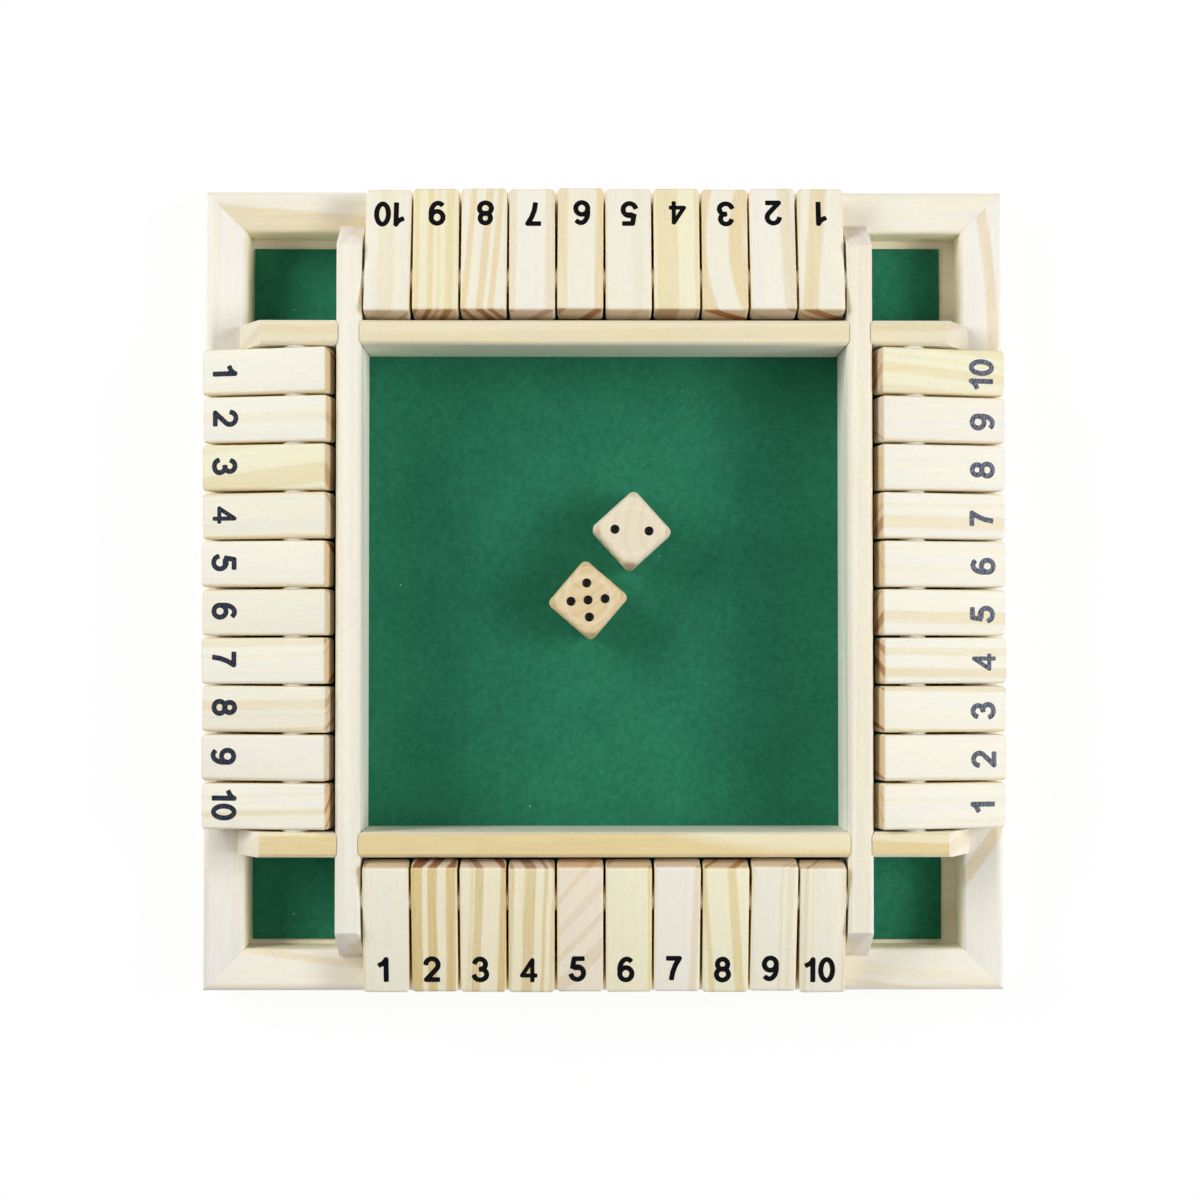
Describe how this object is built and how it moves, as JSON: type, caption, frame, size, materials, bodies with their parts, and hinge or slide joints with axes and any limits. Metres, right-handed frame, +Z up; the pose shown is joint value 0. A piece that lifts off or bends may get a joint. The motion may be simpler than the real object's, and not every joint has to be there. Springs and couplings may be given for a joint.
{
  "type": "shut the box game",
  "caption": "Four-player wooden shut the box board: a felt-lined dice tray with a row of number tiles that flip on a rod along each side, and dice.",
  "frame": {"origin": "centre of the board's underside, in the plane that it rests on", "axes": "+X towards the east row of tiles, +Y towards the north row, +Z up out of the tray"},
  "size_m": [0.22, 0.22, 0.0314],
  "materials": {
    "pine_frame": "sanded, clear matt varnish",
    "pine_rail": "sanded, clear matt varnish",
    "pine_tile": "sanded, clear matt varnish",
    "plywood": "raw sanded plywood",
    "felt": "pressed felt",
    "steel": "drawn wire",
    "die_wood_pale": "smooth, satin",
    "die_wood_tan": "smooth, satin",
    "number_ink": "printed ink",
    "pip_paint": "black paint in drilled pips",
    "washer_nylon": "milky nylon"
  },
  "bodies": {
    "board": {"base_board": "plywood", "felt_lining": "felt", "south_frame_rail": "pine_frame", "east_frame_rail": "pine_frame", "north_frame_rail": "pine_frame", "west_frame_rail": "pine_frame", "south_rod": "steel", "east_rod": "steel", "north_rod": "steel", "west_rod": "steel", "east_divider": "pine_rail", "west_divider": "pine_rail", "south_cross_rail": "pine_rail", "north_cross_rail": "pine_rail", "south_east_rail": "pine_rail", "north_east_rail": "pine_rail", "north_west_rail": "pine_rail", "south_west_rail": "pine_rail"},
    "south_tile_1": {"south_tile_1": "pine_tile"},
    "south_tile_2": {"south_tile_2": "pine_tile"},
    "south_tile_3": {"south_tile_3": "pine_tile"},
    "south_tile_4": {"south_tile_4": "pine_tile"},
    "south_tile_5": {"south_tile_5": "pine_tile"},
    "south_tile_6": {"south_tile_6": "pine_tile"},
    "south_tile_7": {"south_tile_7": "pine_tile"},
    "south_tile_8": {"south_tile_8": "pine_tile"},
    "south_tile_9": {"south_tile_9": "pine_tile"},
    "south_tile_10": {"south_tile_10": "pine_tile"},
    "east_tile_1": {"east_tile_1": "pine_tile"},
    "east_tile_2": {"east_tile_2": "pine_tile"},
    "east_tile_3": {"east_tile_3": "pine_tile"},
    "east_tile_4": {"east_tile_4": "pine_tile"},
    "east_tile_5": {"east_tile_5": "pine_tile"},
    "east_tile_6": {"east_tile_6": "pine_tile"},
    "east_tile_7": {"east_tile_7": "pine_tile"},
    "east_tile_8": {"east_tile_8": "pine_tile"},
    "east_tile_9": {"east_tile_9": "pine_tile"},
    "east_tile_10": {"east_tile_10": "pine_tile"},
    "north_tile_1": {"north_tile_1": "pine_tile"},
    "north_tile_2": {"north_tile_2": "pine_tile"},
    "north_tile_3": {"north_tile_3": "pine_tile"},
    "north_tile_4": {"north_tile_4": "pine_tile"},
    "north_tile_5": {"north_tile_5": "pine_tile"},
    "north_tile_6": {"north_tile_6": "pine_tile"},
    "north_tile_7": {"north_tile_7": "pine_tile"},
    "north_tile_8": {"north_tile_8": "pine_tile"},
    "north_tile_9": {"north_tile_9": "pine_tile"},
    "north_tile_10": {"north_tile_10": "pine_tile"},
    "west_tile_1": {"west_tile_1": "pine_tile"},
    "west_tile_2": {"west_tile_2": "pine_tile"},
    "west_tile_3": {"west_tile_3": "pine_tile"},
    "west_tile_4": {"west_tile_4": "pine_tile"},
    "west_tile_5": {"west_tile_5": "pine_tile"},
    "west_tile_6": {"west_tile_6": "pine_tile"},
    "west_tile_7": {"west_tile_7": "pine_tile"},
    "west_tile_8": {"west_tile_8": "pine_tile"},
    "west_tile_9": {"west_tile_9": "pine_tile"},
    "west_tile_10": {"west_tile_10": "pine_tile"},
    "die_two": {"die_two": "die_wood_pale"},
    "die_five": {"die_five": "die_wood_tan"}
  },
  "joints": [
    {"name": "south_flip_1", "type": "hinge", "parent": "board", "child": "south_tile_1", "pos_m": [0, -0.08351, 0.02527], "axis": [-1, 0, 0], "range_deg": [0, 151]},
    {"name": "south_flip_2", "type": "hinge", "parent": "board", "child": "south_tile_2", "pos_m": [0, -0.08351, 0.02527], "axis": [-1, 0, 0], "range_deg": [0, 151]},
    {"name": "south_flip_3", "type": "hinge", "parent": "board", "child": "south_tile_3", "pos_m": [0, -0.08351, 0.02527], "axis": [-1, 0, 0], "range_deg": [0, 151]},
    {"name": "south_flip_4", "type": "hinge", "parent": "board", "child": "south_tile_4", "pos_m": [0, -0.08351, 0.02527], "axis": [-1, 0, 0], "range_deg": [0, 151]},
    {"name": "south_flip_5", "type": "hinge", "parent": "board", "child": "south_tile_5", "pos_m": [0, -0.08351, 0.02527], "axis": [-1, 0, 0], "range_deg": [0, 151]},
    {"name": "south_flip_6", "type": "hinge", "parent": "board", "child": "south_tile_6", "pos_m": [0, -0.08351, 0.02527], "axis": [-1, 0, 0], "range_deg": [0, 151]},
    {"name": "south_flip_7", "type": "hinge", "parent": "board", "child": "south_tile_7", "pos_m": [0, -0.08351, 0.02527], "axis": [-1, 0, 0], "range_deg": [0, 151]},
    {"name": "south_flip_8", "type": "hinge", "parent": "board", "child": "south_tile_8", "pos_m": [0, -0.08351, 0.02527], "axis": [-1, 0, 0], "range_deg": [0, 151]},
    {"name": "south_flip_9", "type": "hinge", "parent": "board", "child": "south_tile_9", "pos_m": [0, -0.08351, 0.02527], "axis": [-1, 0, 0], "range_deg": [0, 151]},
    {"name": "south_flip_10", "type": "hinge", "parent": "board", "child": "south_tile_10", "pos_m": [0, -0.08351, 0.02527], "axis": [-1, 0, 0], "range_deg": [0, 137]},
    {"name": "east_flip_1", "type": "hinge", "parent": "board", "child": "east_tile_1", "pos_m": [0.08351, 0, 0.02527], "axis": [0, -1, 0], "range_deg": [0, 151]},
    {"name": "east_flip_2", "type": "hinge", "parent": "board", "child": "east_tile_2", "pos_m": [0.08351, 0, 0.02527], "axis": [0, -1, 0], "range_deg": [0, 151]},
    {"name": "east_flip_3", "type": "hinge", "parent": "board", "child": "east_tile_3", "pos_m": [0.08351, 0, 0.02527], "axis": [0, -1, 0], "range_deg": [0, 151]},
    {"name": "east_flip_4", "type": "hinge", "parent": "board", "child": "east_tile_4", "pos_m": [0.08351, 0, 0.02527], "axis": [0, -1, 0], "range_deg": [0, 151]},
    {"name": "east_flip_5", "type": "hinge", "parent": "board", "child": "east_tile_5", "pos_m": [0.08351, 0, 0.02527], "axis": [0, -1, 0], "range_deg": [0, 151]},
    {"name": "east_flip_6", "type": "hinge", "parent": "board", "child": "east_tile_6", "pos_m": [0.08351, 0, 0.02527], "axis": [0, -1, 0], "range_deg": [0, 151]},
    {"name": "east_flip_7", "type": "hinge", "parent": "board", "child": "east_tile_7", "pos_m": [0.08351, 0, 0.02527], "axis": [0, -1, 0], "range_deg": [0, 151]},
    {"name": "east_flip_8", "type": "hinge", "parent": "board", "child": "east_tile_8", "pos_m": [0.08351, 0, 0.02527], "axis": [0, -1, 0], "range_deg": [0, 151]},
    {"name": "east_flip_9", "type": "hinge", "parent": "board", "child": "east_tile_9", "pos_m": [0.08351, 0, 0.02527], "axis": [0, -1, 0], "range_deg": [0, 151]},
    {"name": "east_flip_10", "type": "hinge", "parent": "board", "child": "east_tile_10", "pos_m": [0.08351, 0, 0.02527], "axis": [0, -1, 0], "range_deg": [0, 137]},
    {"name": "north_flip_1", "type": "hinge", "parent": "board", "child": "north_tile_1", "pos_m": [0, 0.08351, 0.02527], "axis": [1, 0, 0], "range_deg": [0, 151]},
    {"name": "north_flip_2", "type": "hinge", "parent": "board", "child": "north_tile_2", "pos_m": [0, 0.08351, 0.02527], "axis": [1, 0, 0], "range_deg": [0, 151]},
    {"name": "north_flip_3", "type": "hinge", "parent": "board", "child": "north_tile_3", "pos_m": [0, 0.08351, 0.02527], "axis": [1, 0, 0], "range_deg": [0, 151]},
    {"name": "north_flip_4", "type": "hinge", "parent": "board", "child": "north_tile_4", "pos_m": [0, 0.08351, 0.02527], "axis": [1, 0, 0], "range_deg": [0, 151]},
    {"name": "north_flip_5", "type": "hinge", "parent": "board", "child": "north_tile_5", "pos_m": [0, 0.08351, 0.02527], "axis": [1, 0, 0], "range_deg": [0, 151]},
    {"name": "north_flip_6", "type": "hinge", "parent": "board", "child": "north_tile_6", "pos_m": [0, 0.08351, 0.02527], "axis": [1, 0, 0], "range_deg": [0, 151]},
    {"name": "north_flip_7", "type": "hinge", "parent": "board", "child": "north_tile_7", "pos_m": [0, 0.08351, 0.02527], "axis": [1, 0, 0], "range_deg": [0, 151]},
    {"name": "north_flip_8", "type": "hinge", "parent": "board", "child": "north_tile_8", "pos_m": [0, 0.08351, 0.02527], "axis": [1, 0, 0], "range_deg": [0, 151]},
    {"name": "north_flip_9", "type": "hinge", "parent": "board", "child": "north_tile_9", "pos_m": [0, 0.08351, 0.02527], "axis": [1, 0, 0], "range_deg": [0, 151]},
    {"name": "north_flip_10", "type": "hinge", "parent": "board", "child": "north_tile_10", "pos_m": [0, 0.08351, 0.02527], "axis": [1, 0, 0], "range_deg": [0, 137]},
    {"name": "west_flip_1", "type": "hinge", "parent": "board", "child": "west_tile_1", "pos_m": [-0.08351, 0, 0.02527], "axis": [0, 1, 0], "range_deg": [0, 151]},
    {"name": "west_flip_2", "type": "hinge", "parent": "board", "child": "west_tile_2", "pos_m": [-0.08351, 0, 0.02527], "axis": [0, 1, 0], "range_deg": [0, 151]},
    {"name": "west_flip_3", "type": "hinge", "parent": "board", "child": "west_tile_3", "pos_m": [-0.08351, 0, 0.02527], "axis": [0, 1, 0], "range_deg": [0, 151]},
    {"name": "west_flip_4", "type": "hinge", "parent": "board", "child": "west_tile_4", "pos_m": [-0.08351, 0, 0.02527], "axis": [0, 1, 0], "range_deg": [0, 151]},
    {"name": "west_flip_5", "type": "hinge", "parent": "board", "child": "west_tile_5", "pos_m": [-0.08351, 0, 0.02527], "axis": [0, 1, 0], "range_deg": [0, 151]},
    {"name": "west_flip_6", "type": "hinge", "parent": "board", "child": "west_tile_6", "pos_m": [-0.08351, 0, 0.02527], "axis": [0, 1, 0], "range_deg": [0, 151]},
    {"name": "west_flip_7", "type": "hinge", "parent": "board", "child": "west_tile_7", "pos_m": [-0.08351, 0, 0.02527], "axis": [0, 1, 0], "range_deg": [0, 151]},
    {"name": "west_flip_8", "type": "hinge", "parent": "board", "child": "west_tile_8", "pos_m": [-0.08351, 0, 0.02527], "axis": [0, 1, 0], "range_deg": [0, 151]},
    {"name": "west_flip_9", "type": "hinge", "parent": "board", "child": "west_tile_9", "pos_m": [-0.08351, 0, 0.02527], "axis": [0, 1, 0], "range_deg": [0, 151]},
    {"name": "west_flip_10", "type": "hinge", "parent": "board", "child": "west_tile_10", "pos_m": [-0.08351, 0, 0.02527], "axis": [0, 1, 0], "range_deg": [0, 137]},
    {"name": "die_two_lift", "type": "slide", "parent": "board", "child": "die_two", "axis": [0, 0, 1], "range_m": [0, 0.06]},
    {"name": "die_five_lift", "type": "slide", "parent": "board", "child": "die_five", "axis": [0, 0, 1], "range_m": [0, 0.06]}
  ]
}
